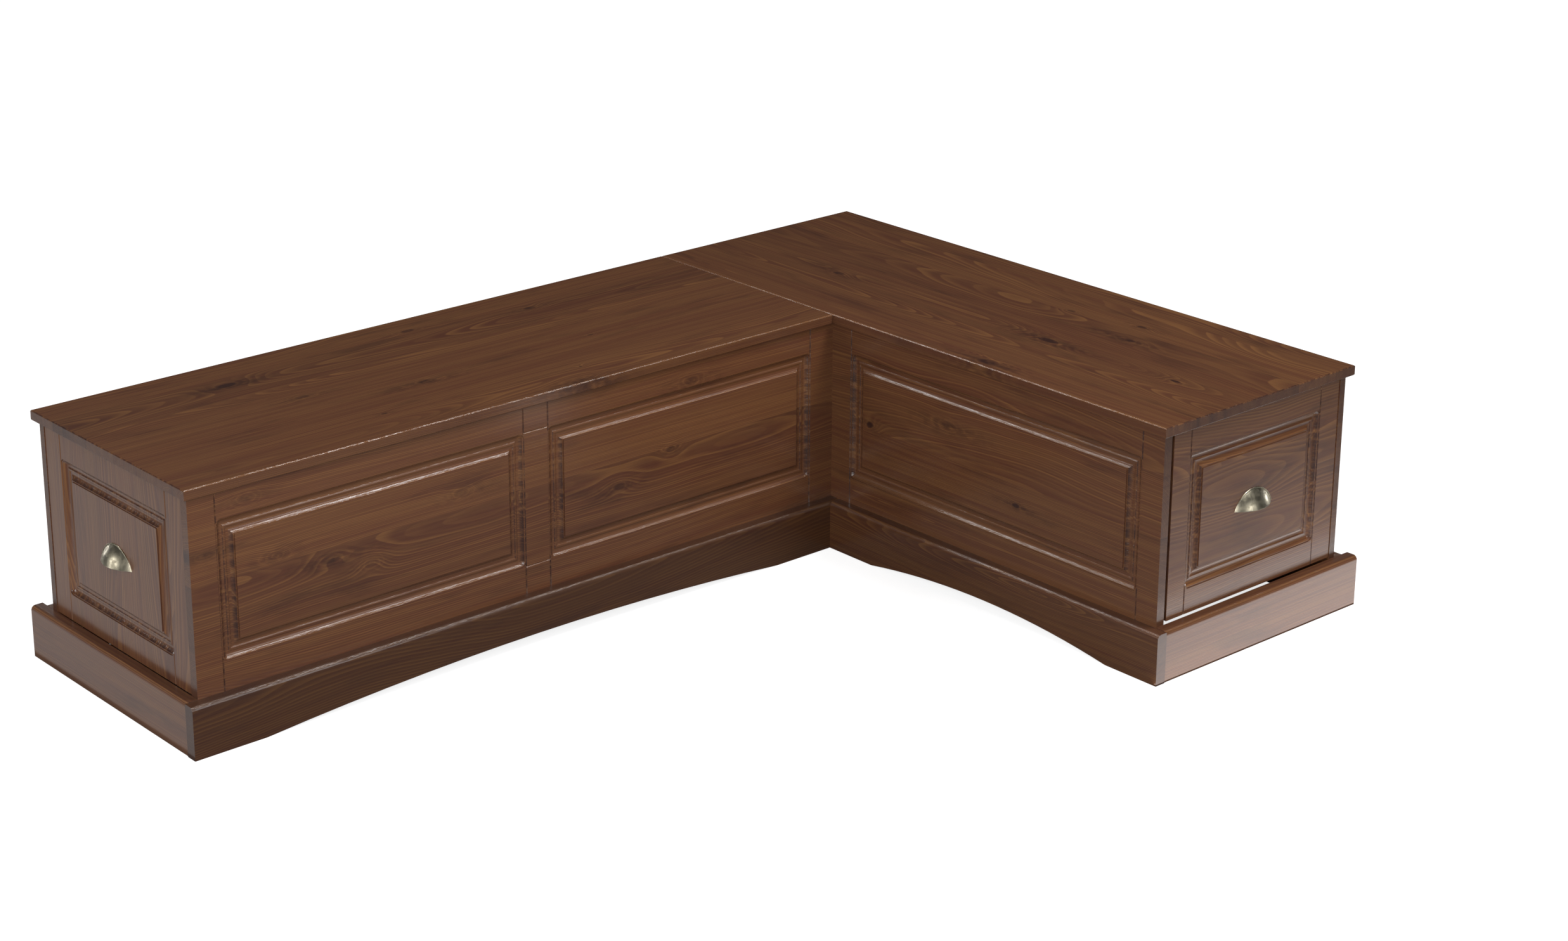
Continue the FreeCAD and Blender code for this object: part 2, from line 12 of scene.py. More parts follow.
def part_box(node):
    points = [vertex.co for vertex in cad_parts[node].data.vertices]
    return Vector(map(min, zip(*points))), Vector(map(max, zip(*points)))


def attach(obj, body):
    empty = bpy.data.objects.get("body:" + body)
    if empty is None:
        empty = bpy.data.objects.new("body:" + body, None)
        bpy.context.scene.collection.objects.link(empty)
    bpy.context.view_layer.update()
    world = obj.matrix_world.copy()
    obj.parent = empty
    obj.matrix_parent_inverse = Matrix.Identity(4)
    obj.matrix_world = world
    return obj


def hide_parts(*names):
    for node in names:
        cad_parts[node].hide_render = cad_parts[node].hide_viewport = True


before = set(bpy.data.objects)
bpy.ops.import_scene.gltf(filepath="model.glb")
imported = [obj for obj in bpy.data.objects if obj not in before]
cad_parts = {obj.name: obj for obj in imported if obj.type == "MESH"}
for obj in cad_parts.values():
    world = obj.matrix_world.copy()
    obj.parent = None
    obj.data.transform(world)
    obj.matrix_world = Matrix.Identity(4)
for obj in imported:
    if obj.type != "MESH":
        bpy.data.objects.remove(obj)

"""Looks of a corner storage bench: two pine chests that meet at a right angle, each with a drawer in
its outer end.

Every board keeps its construction solid and gets a finish grown from its own grain: the growth rings
are shells round a pith line outside the board, so the faces, the edges and the end grain agree.
Lengths are in metres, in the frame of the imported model.
"""

log = logging.getLogger("bench")
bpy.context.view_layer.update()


class Axis(Enum):
    """The direction that a board's fibres follow."""

    X = 0
    Y = 1
    Z = 2


class Wire:
    """A number on its way through a shader, so that a pattern can be written as a formula."""

    def __init__(self, graph: "Graph", socket: bpy.types.NodeSocket) -> None:
        """Takes hold of the socket that carries the number."""
        self.graph = graph
        self.socket = socket

    def __add__(self, other: "Number") -> "Wire":
        """This number plus another."""
        return self.graph.math("ADD", self, other)

    __radd__ = __add__

    def __sub__(self, other: "Number") -> "Wire":
        """This number less another."""
        return self.graph.math("SUBTRACT", self, other)

    def __rsub__(self, other: "Number") -> "Wire":
        """Another number less this one."""
        return self.graph.math("SUBTRACT", other, self)

    def __mul__(self, other: "Number") -> "Wire":
        """This number times another."""
        return self.graph.math("MULTIPLY", self, other)

    __rmul__ = __mul__

    def __truediv__(self, other: "Number") -> "Wire":
        """This number divided by another."""
        return self.graph.math("DIVIDE", self, other)

    def power(self, exponent: "Number") -> "Wire":
        """This number raised to a power."""
        return self.graph.math("POWER", self, exponent)

    def floor(self) -> "Wire":
        """The whole number below."""
        return self.graph.math("FLOOR", self)

    def fraction(self) -> "Wire":
        """What is left above the whole number."""
        return self.graph.math("FRACT", self)

    def absolute(self) -> "Wire":
        """This number without its sign."""
        return self.graph.math("ABSOLUTE", self)

    def clamped(self) -> "Wire":
        """This number, held between 0 and 1."""
        return self.graph.math("ADD", self, 0.0, clamp=True)

    def ramp(self, low: float, high: float, out_low: float = 0.0, out_high: float = 1.0) -> "Wire":
        """Carries one range smoothly over to another and holds it outside.

        Args:
            low: Start of the range.
            high: End of the range.
            out_low: What the start becomes.
            out_high: What the end becomes.

        Returns:
            The number on the new range.
        """
        node = self.graph.node("MapRange", interpolation_type="SMOOTHSTEP")
        for index, value in enumerate((self, low, high, out_low, out_high)):
            self.graph.feed(node.inputs[index], value)
        return Wire(self.graph, node.outputs[0])


Number = Union[float, Wire, None]


class Graph:
    """A node tree with short calls for the nodes that the finishes are made of."""

    def __init__(self, tree: bpy.types.NodeTree) -> None:
        """Takes hold of the tree."""
        self.tree = tree

    def node(self, kind: str, **settings: object) -> bpy.types.Node:
        """Adds a shader node.

        Args:
            kind: The node's type, without its "ShaderNode" prefix.
            settings: Properties to set on it.

        Returns:
            The new node.
        """
        node = self.tree.nodes.new("ShaderNode" + kind)
        for name, value in settings.items():
            setattr(node, name, value)
        return node

    def feed(self, socket: bpy.types.NodeSocket, value: object) -> None:
        """Links something to an input, or sets the input to a plain value.

        Args:
            socket: The input.
            value: A wire, a socket, a plain value, or None to leave the input as it is.
        """
        if isinstance(value, Wire):
            self.tree.links.new(value.socket, socket)
        elif isinstance(value, bpy.types.NodeSocket):
            self.tree.links.new(value, socket)
        elif value is not None:
            socket.default_value = value

    def math(self, operation: str, a: Number, b: Number = None, clamp: bool = False) -> Wire:
        """Adds one calculation.

        Args:
            operation: What to work out.
            a: The first number.
            b: The second number, where there is one.
            clamp: Whether the result is held between 0 and 1.

        Returns:
            The result.
        """
        node = self.node("Math", operation=operation, use_clamp=clamp)
        self.feed(node.inputs[0], a)
        self.feed(node.inputs[1], b)
        return Wire(self, node.outputs[0])

    def vector(self, x: Number, y: Number, z: Number) -> bpy.types.NodeSocket:
        """Joins three numbers to a vector.

        Args:
            x: Its first part.
            y: Its second part.
            z: Its third part.

        Returns:
            The vector.
        """
        node = self.node("CombineXYZ")
        for socket, value in zip(node.inputs, (x, y, z)):
            self.feed(socket, value)
        return node.outputs[0]

    def parts(self, vector: bpy.types.NodeSocket) -> list[Wire]:
        """Splits a vector into its three numbers.

        Args:
            vector: The vector.

        Returns:
            Its x, y and z.
        """
        node = self.node("SeparateXYZ")
        self.feed(node.inputs[0], vector)
        return [Wire(self, socket) for socket in node.outputs]

    def noise(self, place: bpy.types.NodeSocket, scale: float = 1.0, detail: float = 2.0,
              roughness: float = 0.5) -> Wire:
        """Smooth noise round one half.

        Args:
            place: Where to read it.
            scale: How many lumps there are to a unit of length.
            detail: How many finer layers lie on it.
            roughness: How strong they are.

        Returns:
            The noise.
        """
        node = self.node("TexNoise", noise_dimensions="3D")
        self.feed(node.inputs["Vector"], place)
        node.inputs["Scale"].default_value = scale
        node.inputs["Detail"].default_value = detail
        node.inputs["Roughness"].default_value = roughness
        return Wire(self, node.outputs[0])

    def dice(self, place: bpy.types.NodeSocket) -> Sequence[Wire]:
        """Three random numbers that stay the same where the place stays the same.

        Args:
            place: Where to read them.

        Returns:
            The numbers.
        """
        node = self.node("TexWhiteNoise", noise_dimensions="3D")
        self.feed(node.inputs["Vector"], place)
        colour = self.node("SeparateColor")
        self.feed(colour.inputs[0], node.outputs["Color"])
        return [Wire(self, socket) for socket in colour.outputs]

    def blend(self, factor: Number, first: object, second: object) -> bpy.types.NodeSocket:
        """Mixes two colours.

        Args:
            factor: The share of the second one.
            first: A colour.
            second: The other colour.

        Returns:
            The mixed colour.
        """
        node = self.node("Mix", data_type="RGBA")
        self.feed(node.inputs[0], factor)
        self.feed(node.inputs[6], first)
        self.feed(node.inputs[7], second)
        return node.outputs[2]


class Finish:
    """A new material with its graph and its shader, and the calls that the finishes share."""

    def __init__(self, name: str) -> None:
        """Makes the material."""
        self.material = bpy.data.materials.new(name)
        self.material.use_nodes = True
        self.graph = Graph(self.material.node_tree)
        self.shader = self.material.node_tree.nodes["Principled BSDF"]
        self.where = self.graph.node("TexCoord")

    def set(self, **values: object) -> None:
        """Feeds inputs of the shader.

        Args:
            values: What goes in, by the input's name with _ for each space.
        """
        for name, value in values.items():
            self.graph.feed(self.shader.inputs[name.replace("_", " ")], value)

    def relief(self, height: Number, strength: float, depth: float, coated: bool = False) -> None:
        """Gives the surface its fine relief.

        Args:
            height: The relief.
            strength: How much of it shows.
            depth: How deep one unit of it is.
            coated: Whether the lacquer follows it.
        """
        bump = self.graph.node("Bump")
        bump.inputs["Strength"].default_value = strength
        bump.inputs["Distance"].default_value = depth
        self.graph.feed(bump.inputs["Height"], height)
        self.set(Normal=bump.outputs[0])
        if coated:
            self.set(Coat_Normal=bump.outputs[0])


@dataclass(frozen=True)
class Weave:
    """Noise that is stretched along the fibres, in lumps to a metre.

    Attributes:
        along: Lumps along the fibres.
        across: Lumps across them.
        through: Lumps through the board's thickness.
        detail: How many finer layers lie on it.
        roughness: How strong they are.
    """

    along: float
    across: float
    through: float
    detail: float = 2.0
    roughness: float = 0.5

    def draw(self, graph: Graph, u: Wire, v: Wire, w: Wire) -> Wire:
        """Adds the noise to a graph.

        Args:
            graph: The material's graph.
            u: The place along the fibres.
            v: The place across them.
            w: The place in the thickness.

        Returns:
            The noise.
        """
        place = graph.vector(u * self.along, v * self.across, w * self.through)
        return graph.noise(place, detail=self.detail, roughness=self.roughness)


WOBBLE = Weave(55.0, 90.0, 90.0)
SWAY = Weave(7.0, 30.0, 30.0, detail=1.0)
BAND = Weave(1.7, 62.0, 62.0, detail=3.0, roughness=0.6)
FIBRE = Weave(9.0, 520.0, 520.0, detail=3.0, roughness=0.7)
HAIR = Weave(6.0, 1050.0, 1050.0, roughness=0.6)
PORES = Weave(60.0, 1900.0, 1900.0, detail=1.0)
PATCH = Weave(5.0, 26.0, 2.3, detail=4.0, roughness=0.6)
CHATTER = Weave(60.0, 310.0, 90.0, roughness=0.6)
BARS = Weave(25.0, 130.0, 25.0)
PLY_FIBRE = Weave(12.0, 600.0, 600.0)

Colour = tuple[float, float, float, float]


@dataclass(frozen=True)
class Knot:
    """A branch that the board was cut through.

    Attributes:
        along: Its place along the fibres, in the row frame.
        across: Its place across them, in the row frame.
        size: Its half width across the fibres.
        stretch: How many times longer it is along the fibres.
        depth: How dark its core is, from 0 to 1.
        cloud: How dark the resin cloud beside it is, from 0 to 1.
    """

    along: float
    across: float
    size: float = 0.007
    stretch: float = 1.9
    depth: float = 0.9
    cloud: float = 0.6


@dataclass(frozen=True)
class Stain:
    """Colours and gloss of one way of finishing pine.

    Attributes:
        pale: Late wood, which takes little stain.
        body: The usual tone.
        ruddy: The tone of the redder bands.
        deep: Knots and thirsty patches.
        contrast: How far rings stand out.
        blotch: How far patches stand out.
        rough: Roughness below the lacquer.
        coat: Amount of lacquer.
        coat_rough: Roughness of the lacquer.
    """

    pale: Colour
    body: Colour
    ruddy: Colour
    deep: Colour
    contrast: float = 0.68
    blotch: float = 0.37
    rough: float = 0.42
    coat: float = 1.0
    coat_rough: float = 0.17

    def toned(self, share: float) -> "Stain":
        """A darker copy of the stain, which paints shade onto a board.

        Args:
            share: What is left, from 0 to 1.

        Returns:
            The darker stain.
        """
        tones = {name: tuple(part * share for part in getattr(self, name)[:3]) + (1.0,)
                 for name in ("pale", "body", "ruddy")}
        return replace(self, **tones)


STAINED = Stain(
    pale=(0.215, 0.096, 0.034, 1.0),
    body=(0.122, 0.050, 0.022, 1.0),
    ruddy=(0.098, 0.034, 0.018, 1.0),
    deep=(0.036, 0.0145, 0.0105, 1.0),
)
RAW = Stain(
    pale=(0.50, 0.27, 0.10, 1.0),
    body=(0.62, 0.42, 0.22, 1.0),
    ruddy=(0.57, 0.37, 0.19, 1.0),
    deep=(0.38, 0.20, 0.09, 1.0),
    contrast=0.7,
    blotch=0.15,
    rough=0.6,
    coat=0.0,
)


class Share:
    """How strongly each feature of the wood lightens or darkens it."""

    ROUTED_PALE = 0.34
    RIM_PALE = 0.28
    HAIR_PALE = 0.40
    TORN_PALE = 0.50
    KNOT_DARK = 0.85
    STRIP_DARK = 0.26
    FIBRE_DARK = 0.20
    HAIR_DARK = 0.12
    END_DARK = 0.40
    EDGE_DARK = 0.30
    TORN_DARK = 0.45


class Relief:
    """How high each feature stands in the wood's fine relief, and how much of the relief shows."""

    PORES = 0.2
    FIBRE = 0.25
    RINGS = 0.2
    TORN = 4.5
    ROUTED = 4.0
    STRENGTH = 0.4
    DEPTH = 0.0004


@dataclass(frozen=True)
class Pine:
    """A pine board: which way it grew and how it was finished.

    Attributes:
        grain: The direction of the fibres.
        face: The direction of its thickness.
        stain: The finish.
        strip: Width of the strips that it is glued up from.
        seed: Number that sets this board apart from others.
        knots: Its knots, in the face's own directions.
        ring: Width of a growth ring.
        pith_near: Least depth of the pith line below the board's middle.
        pith_spread: How much deeper it can lie.
        pith_drift: How far it wanders along the board.
        pith_lean: How far it can lean off the fibres, to a metre.
        sway: How far the rings waver.
    """

    grain: Axis
    face: Axis
    stain: Stain = STAINED
    strip: float = 0.072
    seed: float = 0.0
    knots: tuple[Knot, ...] = ()
    ring: ClassVar[float] = 0.0026
    pith_near: ClassVar[float] = 0.022
    pith_spread: ClassVar[float] = 0.075
    pith_drift: ClassVar[float] = 0.11
    pith_lean: ClassVar[float] = 0.03
    sway: ClassVar[float] = 0.0022

    def knotted(self, graph: Graph, u: Wire, v: Wire, wobble: Wire) -> tuple[Number, Number, Number]:
        """Draws the knots.

        Args:
            graph: The material's graph.
            u: The place along the fibres.
            v: The place across them.
            wobble: Noise that keeps them from being round.

        Returns:
            How far they push the rings out, how dark their cores and clouds are, and their pale rims.
        """
        push: Number = 0.0
        core: Number = 0.0
        rim: Number = 0.0
        for knot in self.knots:
            du = (u - knot.along) / (knot.size * knot.stretch)
            dv = (v - knot.across) / knot.size
            square = du * du + dv * dv
            gap = square.power(0.5) + wobble * 0.9
            push = push + graph.math("EXPONENT", square * -0.14) * (knot.size * 1.2)
            core = core + gap.ramp(0.55, 1.15, knot.depth, 0.0)
            edge = (gap * 1.3).fraction() - 0.5
            rim = rim + (1.0 - (edge * edge).ramp(0.0, 0.05)) * square.ramp(1.2, 7.0, 0.75, 0.0)
            aside = dv + wobble * 2.0
            spill = du * du * 0.045 + aside * aside * 0.32
            cloud = wobble.ramp(-0.22, 0.12) * knot.cloud
            core = core + graph.math("EXPONENT", spill * -1.0) * cloud
        return push, core, rim

    def rings(self, graph: Graph, place: tuple[Wire, Wire, Wire], strip: Wire, chance: Sequence[Wire],
              push: Number) -> tuple[Wire, Wire]:
        """Draws the growth rings as shells round each strip's own pith line.

        Args:
            graph: The material's graph.
            place: The place along the fibres, across them and in the thickness.
            strip: The number of the glued strip.
            chance: The strip's random numbers.
            push: How far the knots push the rings out.

        Returns:
            The late wood from 0 to 1, and how strong it is in each year.
        """
        u, v, w = place
        local = v - (strip + 0.5) * self.strip
        drift = graph.noise(graph.vector(u * 0.9, strip * 3.7 + local * 2.0, self.seed)) - 0.5
        sway = SWAY.draw(graph, u, v, w) - 0.5
        sideways = local + (chance[0] - 0.5) * (self.strip * 1.6)
        below = w + (chance[1] * self.pith_spread + self.pith_near) + drift * self.pith_drift
        below = below + (chance[2] - 0.5) * u * self.pith_lean
        radius = (sideways * sideways + below * below).power(0.5) + push + sway * self.sway
        count = radius / self.ring
        turn = count.fraction()
        year = graph.noise(graph.vector(count.floor() * 1.7, strip, self.seed), detail=0.0)
        late = turn.ramp(0.25, 0.92) * (1.0 - turn.ramp(0.93, 1.0))
        return late, year.ramp(0.35, 0.65, 0.25, 1.0)

    def material(self, name: str, origin: Vector) -> bpy.types.Material:
        """Makes the material.

        Args:
            name: The material's name.
            origin: The board's middle, in the row frame.

        Returns:
            The material.
        """
        finish = Finish(name)
        graph = finish.graph
        stain = self.stain
        place = graph.parts(finish.where.outputs["Object"])
        facing = [part.absolute() for part in graph.parts(finish.where.outputs["Normal"])]
        third = next(axis for axis in Axis if axis not in (self.grain, self.face))
        u, v = place[self.grain.value], place[third.value]
        w = place[self.face.value] - origin[self.face.value]
        wobble = WOBBLE.draw(graph, u, v, w) - 0.5
        push, core, rim = self.knotted(graph, u, v, wobble)

        u = u + self.seed * 3.1
        v = v - origin[third.value] + self.seed * 0.37 + 0.4
        strip = (v / self.strip).floor()
        chance = graph.dice(graph.vector(strip, self.seed * 7.0 + 0.5, 1.5))
        late, strong = self.rings(graph, (u, v, w), strip, chance, push)
        band, fibre, hair, pores, chatter, bars = (
            weave.draw(graph, u, v, w) for weave in (BAND, FIBRE, HAIR, PORES, CHATTER, BARS))
        patch = PATCH.draw(graph, u, v, strip)

        end = facing[self.grain.value]
        edge_on = facing[third.value].ramp(0.9, 0.99)
        routed = (1.0 - facing[self.face.value]).ramp(0.04, 0.4) - edge_on
        cross = end.ramp(0.08, 0.45)
        along = routed * (1.0 - cross)
        torn = cross * end.ramp(0.97, 1.0, 1.0, 0.12)

        pale = late * strong * stain.contrast + along * Share.ROUTED_PALE + rim * Share.RIM_PALE
        pale = pale + hair.ramp(0.54, 0.74) * Share.HAIR_PALE
        pale = pale + torn * bars.ramp(0.50, 0.70) * Share.TORN_PALE
        dark = patch.ramp(0.50, 0.74) * stain.blotch + core * Share.KNOT_DARK
        dark = dark + (chance[1] - 0.5) * Share.STRIP_DARK
        dark = dark + (1.0 - fibre.ramp(0.28, 0.58)) * Share.FIBRE_DARK
        dark = dark + (1.0 - hair.ramp(0.26, 0.44)) * Share.HAIR_DARK
        dark = dark + end.ramp(0.25, 0.95) * Share.END_DARK + edge_on * Share.EDGE_DARK
        dark = dark + torn * bars.ramp(0.62, 0.40) * Share.TORN_DARK
        colour = graph.blend(band.ramp(0.36, 0.62) * 0.8 + chance[2] * 0.2, stain.ruddy, stain.body)
        colour = graph.blend(pale.clamped(), colour, stain.pale)
        colour = graph.blend(dark.clamped(), colour, stain.deep)
        dull = (fibre * 0.16 + end * 0.15 + (stain.rough - 0.08)).clamped()
        finish.set(Base_Color=colour, Roughness=dull, Specular_IOR_Level=0.12,
                   Coat_Weight=stain.coat, Coat_Roughness=stain.coat_rough, Coat_IOR=1.5)

        height = pores * Relief.PORES + fibre * Relief.FIBRE + late * Relief.RINGS
        height = height + chatter * torn * Relief.TORN
        height = height + (hair + pores * 0.6) * along * Relief.ROUTED
        finish.relief(height, Relief.STRENGTH, Relief.DEPTH, coated=True)
        return finish.material


@dataclass(frozen=True)
class Metal:
    """A metal finish with handling marks.

    Attributes:
        name: The material's name.
        bright: Colour where hands polish it.
        dull: Colour of the patina.
        rough: Roughness of the polished parts.
        patina: Share of the patina.
    """

    name: str
    bright: Colour
    dull: Colour
    rough: float
    patina: float

    def material(self) -> bpy.types.Material:
        """Makes the material.

        Returns:
            The material.
        """
        finish = Finish(self.name)
        graph = finish.graph
        where = finish.where.outputs["Object"]
        cloud = graph.noise(where, scale=85.0, detail=4.0, roughness=0.65)
        grit = graph.noise(where, scale=900.0, detail=2.0)
        tarnish = (cloud.ramp(0.40, 0.66) * self.patina + grit.ramp(0.45, 0.75) * 0.15).clamped()
        finish.set(Base_Color=graph.blend(tarnish, self.bright, self.dull),
                   Roughness=tarnish * 0.28 + self.rough, Metallic=1.0)
        finish.relief(grit + cloud, 0.2, 0.00012)
        return finish.material


BRASS = Metal("aged_brass", (0.44, 0.40, 0.30, 1.0), (0.21, 0.185, 0.13, 1.0), 0.29, 0.60)
ZINC = Metal("zinc_steel", (0.62, 0.62, 0.62, 1.0), (0.38, 0.39, 0.41, 1.0), 0.30, 0.4)


@dataclass(frozen=True)
class Plywood:
    """Thin plywood: a rotary-cut face and edges that show its plies.

    Attributes:
        name: The material's name.
        grain: The direction of the face's fibres.
        plies: Thickness of one ply.
        pale: The face's usual tone.
        figure: The tone of its figure.
        dark: The tone of its dark fibres.
        glue: The tone of every second ply on the edge.
    """

    name: str
    grain: Axis
    plies: float = 0.002
    pale: Colour = (0.60, 0.43, 0.26, 1.0)
    figure: Colour = (0.50, 0.32, 0.17, 1.0)
    dark: Colour = (0.40, 0.25, 0.13, 1.0)
    glue: Colour = (0.22, 0.12, 0.06, 1.0)

    def material(self) -> bpy.types.Material:
        """Makes the material.

        Returns:
            The material.
        """
        finish = Finish(self.name)
        graph = finish.graph
        x, y, z = graph.parts(finish.where.outputs["Object"])
        upward = graph.parts(finish.where.outputs["Normal"])[2].absolute()
        u, v = (x, y) if self.grain is Axis.X else (y, x)
        edge = 1.0 - upward.ramp(0.3, 0.7)
        wave = graph.noise(graph.vector(u * 2.0, v * 9.0, 0.3), detail=3.0)
        figure = (wave * 14.0).fraction().ramp(0.1, 0.9)
        fibre = PLY_FIBRE.draw(graph, u, v, z)
        layer = ((z / self.plies).floor() * 0.5).fraction() * 2.0
        colour = graph.blend(figure * 0.5, self.pale, self.figure)
        colour = graph.blend(fibre.ramp(0.35, 0.7) * 0.4, colour, self.dark)
        colour = graph.blend(layer * edge * 0.7, colour, self.glue)
        finish.set(Base_Color=colour, Roughness=fibre * 0.2 + 0.5)
        finish.relief(fibre, 0.25, 0.0002)
        return finish.material


class Side(Enum):
    """Which of the two chests a piece belongs to."""

    LONG = "long"
    SHORT = "short"


@dataclass(frozen=True)
class CupPull:
    """A cup pull: a hollow slice of a ball, with a rolled lip over the fingers and a round rim.

    Attributes:
        side: The chest whose drawer it is on.
        ball: Radius of the ball.
        behind: How far the ball's middle lies behind the drawer's face.
        below: How far it lies below the pull's foot.
        wall: Thickness of the shell.
        rim: Width of the rim round it.
        rim_height: How far the rim stands off the face.
        bead: Radius of the rolled lip.
        around: Steps along the arch.
        skin_steps: Steps across the inner and the outer skin.
        bead_steps: Steps round the rolled lip.
        rim_steps: Steps over the rim.
        taper: Length over which the lip runs out at the arch's ends.
        least: Least width that the outer skin keeps there.
    """

    side: Side
    ball: float = 0.06427
    behind: float = 0.04098
    below: float = 0.017015
    wall: float = 0.0016
    rim: float = 0.0015
    rim_height: float = 0.0016
    bead: float = 0.0010
    around: int = 120
    skin_steps: tuple[int, int] = (13, 23)
    bead_steps: int = 12
    rim_steps: int = 10
    taper: float = 0.004
    least: float = 0.0002

    def circle(self) -> float:
        """Radius of the circle in which the ball meets the face."""
        return math.sqrt(self.ball ** 2 - self.behind ** 2)

    def off(self, ball: float, out: float) -> float:
        """How far a ball's skin stands off the face at a distance from the circle's middle."""
        return max(math.sqrt(max(ball ** 2 - out ** 2, 0.0)) - self.behind, 0.0)

    def section(self, turn: float) -> list[tuple[float, float]]:
        """The pull's outline at one angle round the circle.

        Args:
            turn: The angle, from the foot's level.

        Returns:
            Distances from the circle's middle and off the face, from inside to the rim's outer edge.
        """
        circle = self.circle()
        hollow = self.ball - self.wall
        inside = math.sqrt(hollow ** 2 - self.behind ** 2)
        lip = min(self.below / math.sin(turn), circle - 2 * self.least)
        start = min(lip + self.bead, circle - self.least)
        inner, outer = self.skin_steps
        points = []
        for step in range(inner + 1):
            out = inside + (min(start, inside) - inside) * step / inner
            points.append((out, self.off(hollow, out)))
        middle = (self.off(hollow, start) + self.off(self.ball, start)) / 2
        swell = self.bead * min(1.0, (circle - lip) / self.taper)
        for step in range(1, self.bead_steps):
            angle = math.pi * step / self.bead_steps
            points.append((start - swell * math.sin(angle), max(middle - swell * math.cos(angle), 0.0)))
        for step in range(outer + 1):
            out = start + (circle - start) * (step / outer) ** 0.8
            points.append((out, self.off(self.ball, out)))
        for step in range(1, self.rim_steps):
            angle = math.pi * step / self.rim_steps
            out = circle + self.rim * (1 - math.cos(angle)) / 2
            points.append((out, self.rim_height * math.sin(angle)))
        points.append((circle + self.rim, 0.0))
        return points

    def build(self, finish: bpy.types.Material) -> bpy.types.Object:
        """Builds the pull where the construction has it.

        Args:
            finish: The metal.

        Returns:
            The finished piece.
        """
        name = self.side.value
        low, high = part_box(f"{name}_cup_pull")
        if self.side is Side.LONG:
            out, right = Vector((-1, 0, 0)), Vector((0, -1, 0))
            foot = Vector((high.x, (low.y + high.y) / 2, low.z))
        else:
            out, right = Vector((0, -1, 0)), Vector((1, 0, 0))
            foot = Vector(((low.x + high.x) / 2, high.y, low.z))
        middle = foot - Vector((0, 0, self.below))
        first = math.asin(self.below / self.circle())
        work = bmesh.new()
        rows = []
        for index in range(self.around + 1):
            share = (1 - math.cos(math.pi * index / self.around)) / 2
            turn = first + (math.pi - 2 * first) * share
            sweep = right * math.cos(turn) + Vector((0, 0, math.sin(turn)))
            places = [middle + sweep * far + out * off for far, off in self.section(turn)]
            rows.append([work.verts.new(place) for place in places])
        for one, two in zip(rows, rows[1:]):
            for index in range(len(one) - 1):
                work.faces.new((one[index], two[index], two[index + 1], one[index + 1]))
        for end in (rows[0], rows[-1][::-1]):
            work.faces.new(end)
        bmesh.ops.remove_doubles(work, verts=work.verts, dist=1e-6)
        bmesh.ops.recalc_face_normals(work, faces=work.faces)
        piece = mesh_object(f"{name}_pull", work, finish)
        log.info("built %s with %d sections", piece.name, len(rows))
        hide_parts(f"{name}_cup_pull")
        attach(piece, f"{name}_drawer")
        return piece


def mesh_object(name: str, work: bmesh.types.BMesh, finish: bpy.types.Material) -> bpy.types.Object:
    """Turns a bmesh into a smooth-shaded object in the scene.

    Args:
        name: The object's name.
        work: The mesh, which is freed.
        finish: Its material.

    Returns:
        The object.
    """
    data = bpy.data.meshes.new(name)
    work.to_mesh(data)
    work.free()
    for face in data.polygons:
        face.use_smooth = True
    data.materials.append(finish)
    made = bpy.data.objects.new(name, data)
    bpy.context.scene.collection.objects.link(made)
    return made


RAIL_STRIP = 0.3
BOX_STRIP = 0.11
PLINTH_STRIP = 0.2

SEAT_KNOTS = {
    Side.LONG: (
        Knot(-0.345, 0.330, 0.0085, 2.2, 0.55),
        Knot(-0.551, 0.400, 0.0075, 2.0, 0.30, 0.5),
        Knot(-0.616, 0.534, 0.0090, 2.2, 0.45, 0.5),
        Knot(-0.213, 0.578, 0.0070, 2.4, 0.60, 0.3),
        Knot(0.035, 0.543, 0.0070, 2.0, 0.45, 0.4),
        Knot(0.023, 0.347, 0.0035, 2.0, 0.70, 0.3),
        Knot(-0.098, 0.221, 0.0030, 1.3, 0.95, 0.0),
        Knot(-0.493, 0.242, 0.0040, 1.8, 0.50, 0.4),
        Knot(-0.146, 0.158, 0.0110, 1.8, 0.40, 0.7),
    ),
    Side.SHORT: (
        Knot(-0.208, 0.619, 0.0090, 2.6, 0.60, 0.8),
        Knot(-0.267, 0.801, 0.0060, 2.0, 0.60, 0.5),
        Knot(-0.300, 0.727, 0.0070, 2.4, 0.40, 0.7),
        Knot(-0.223, 0.452, 0.0120, 1.9, 0.45, 0.5),
        Knot(-0.502, 0.621, 0.0045, 2.4, 0.95, 0.4),
        Knot(-0.119, 0.775, 0.0050, 2.0, 0.60, 0.3),
        Knot(0.332, 0.613, 0.0070, 2.0, 0.60, 0.4),
    ),
}
FRONT_KNOTS = {
    Side.LONG: (
        Knot(-0.584, 0.234, 0.0080, 1.6, 0.12, 0.1),
        Knot(-0.662, 0.262, 0.0070, 2.6, 0.30, 0.5),
        Knot(-0.766, 0.296, 0.0070, 2.2, 0.10, 0.45),
        Knot(-0.402, 0.311, 0.0070, 2.0, 0.10, 0.4),
        Knot(-0.814, 0.407, 0.0070, 2.2, 0.20, 0.4),
        Knot(-0.892, 0.330, 0.0060, 3.0, 0.20, 0.4),
        Knot(0.100, 0.395, 0.0080, 2.0, 0.40, 0.5),
        Knot(-0.065, 0.237, 0.0070, 2.0, 0.40, 0.4),
        Knot(0.052, 0.279, 0.0060, 1.8, 0.40, 0.4),
    ),
    Side.SHORT: (
        Knot(0.057, 0.260, 0.0065, 1.5, 1.00, 0.3),
        Knot(-0.312, 0.213, 0.0045, 2.0, 0.85, 0.7),
        Knot(-0.143, 0.313, 0.0080, 2.6, 0.20, 0.6),
    ),
}


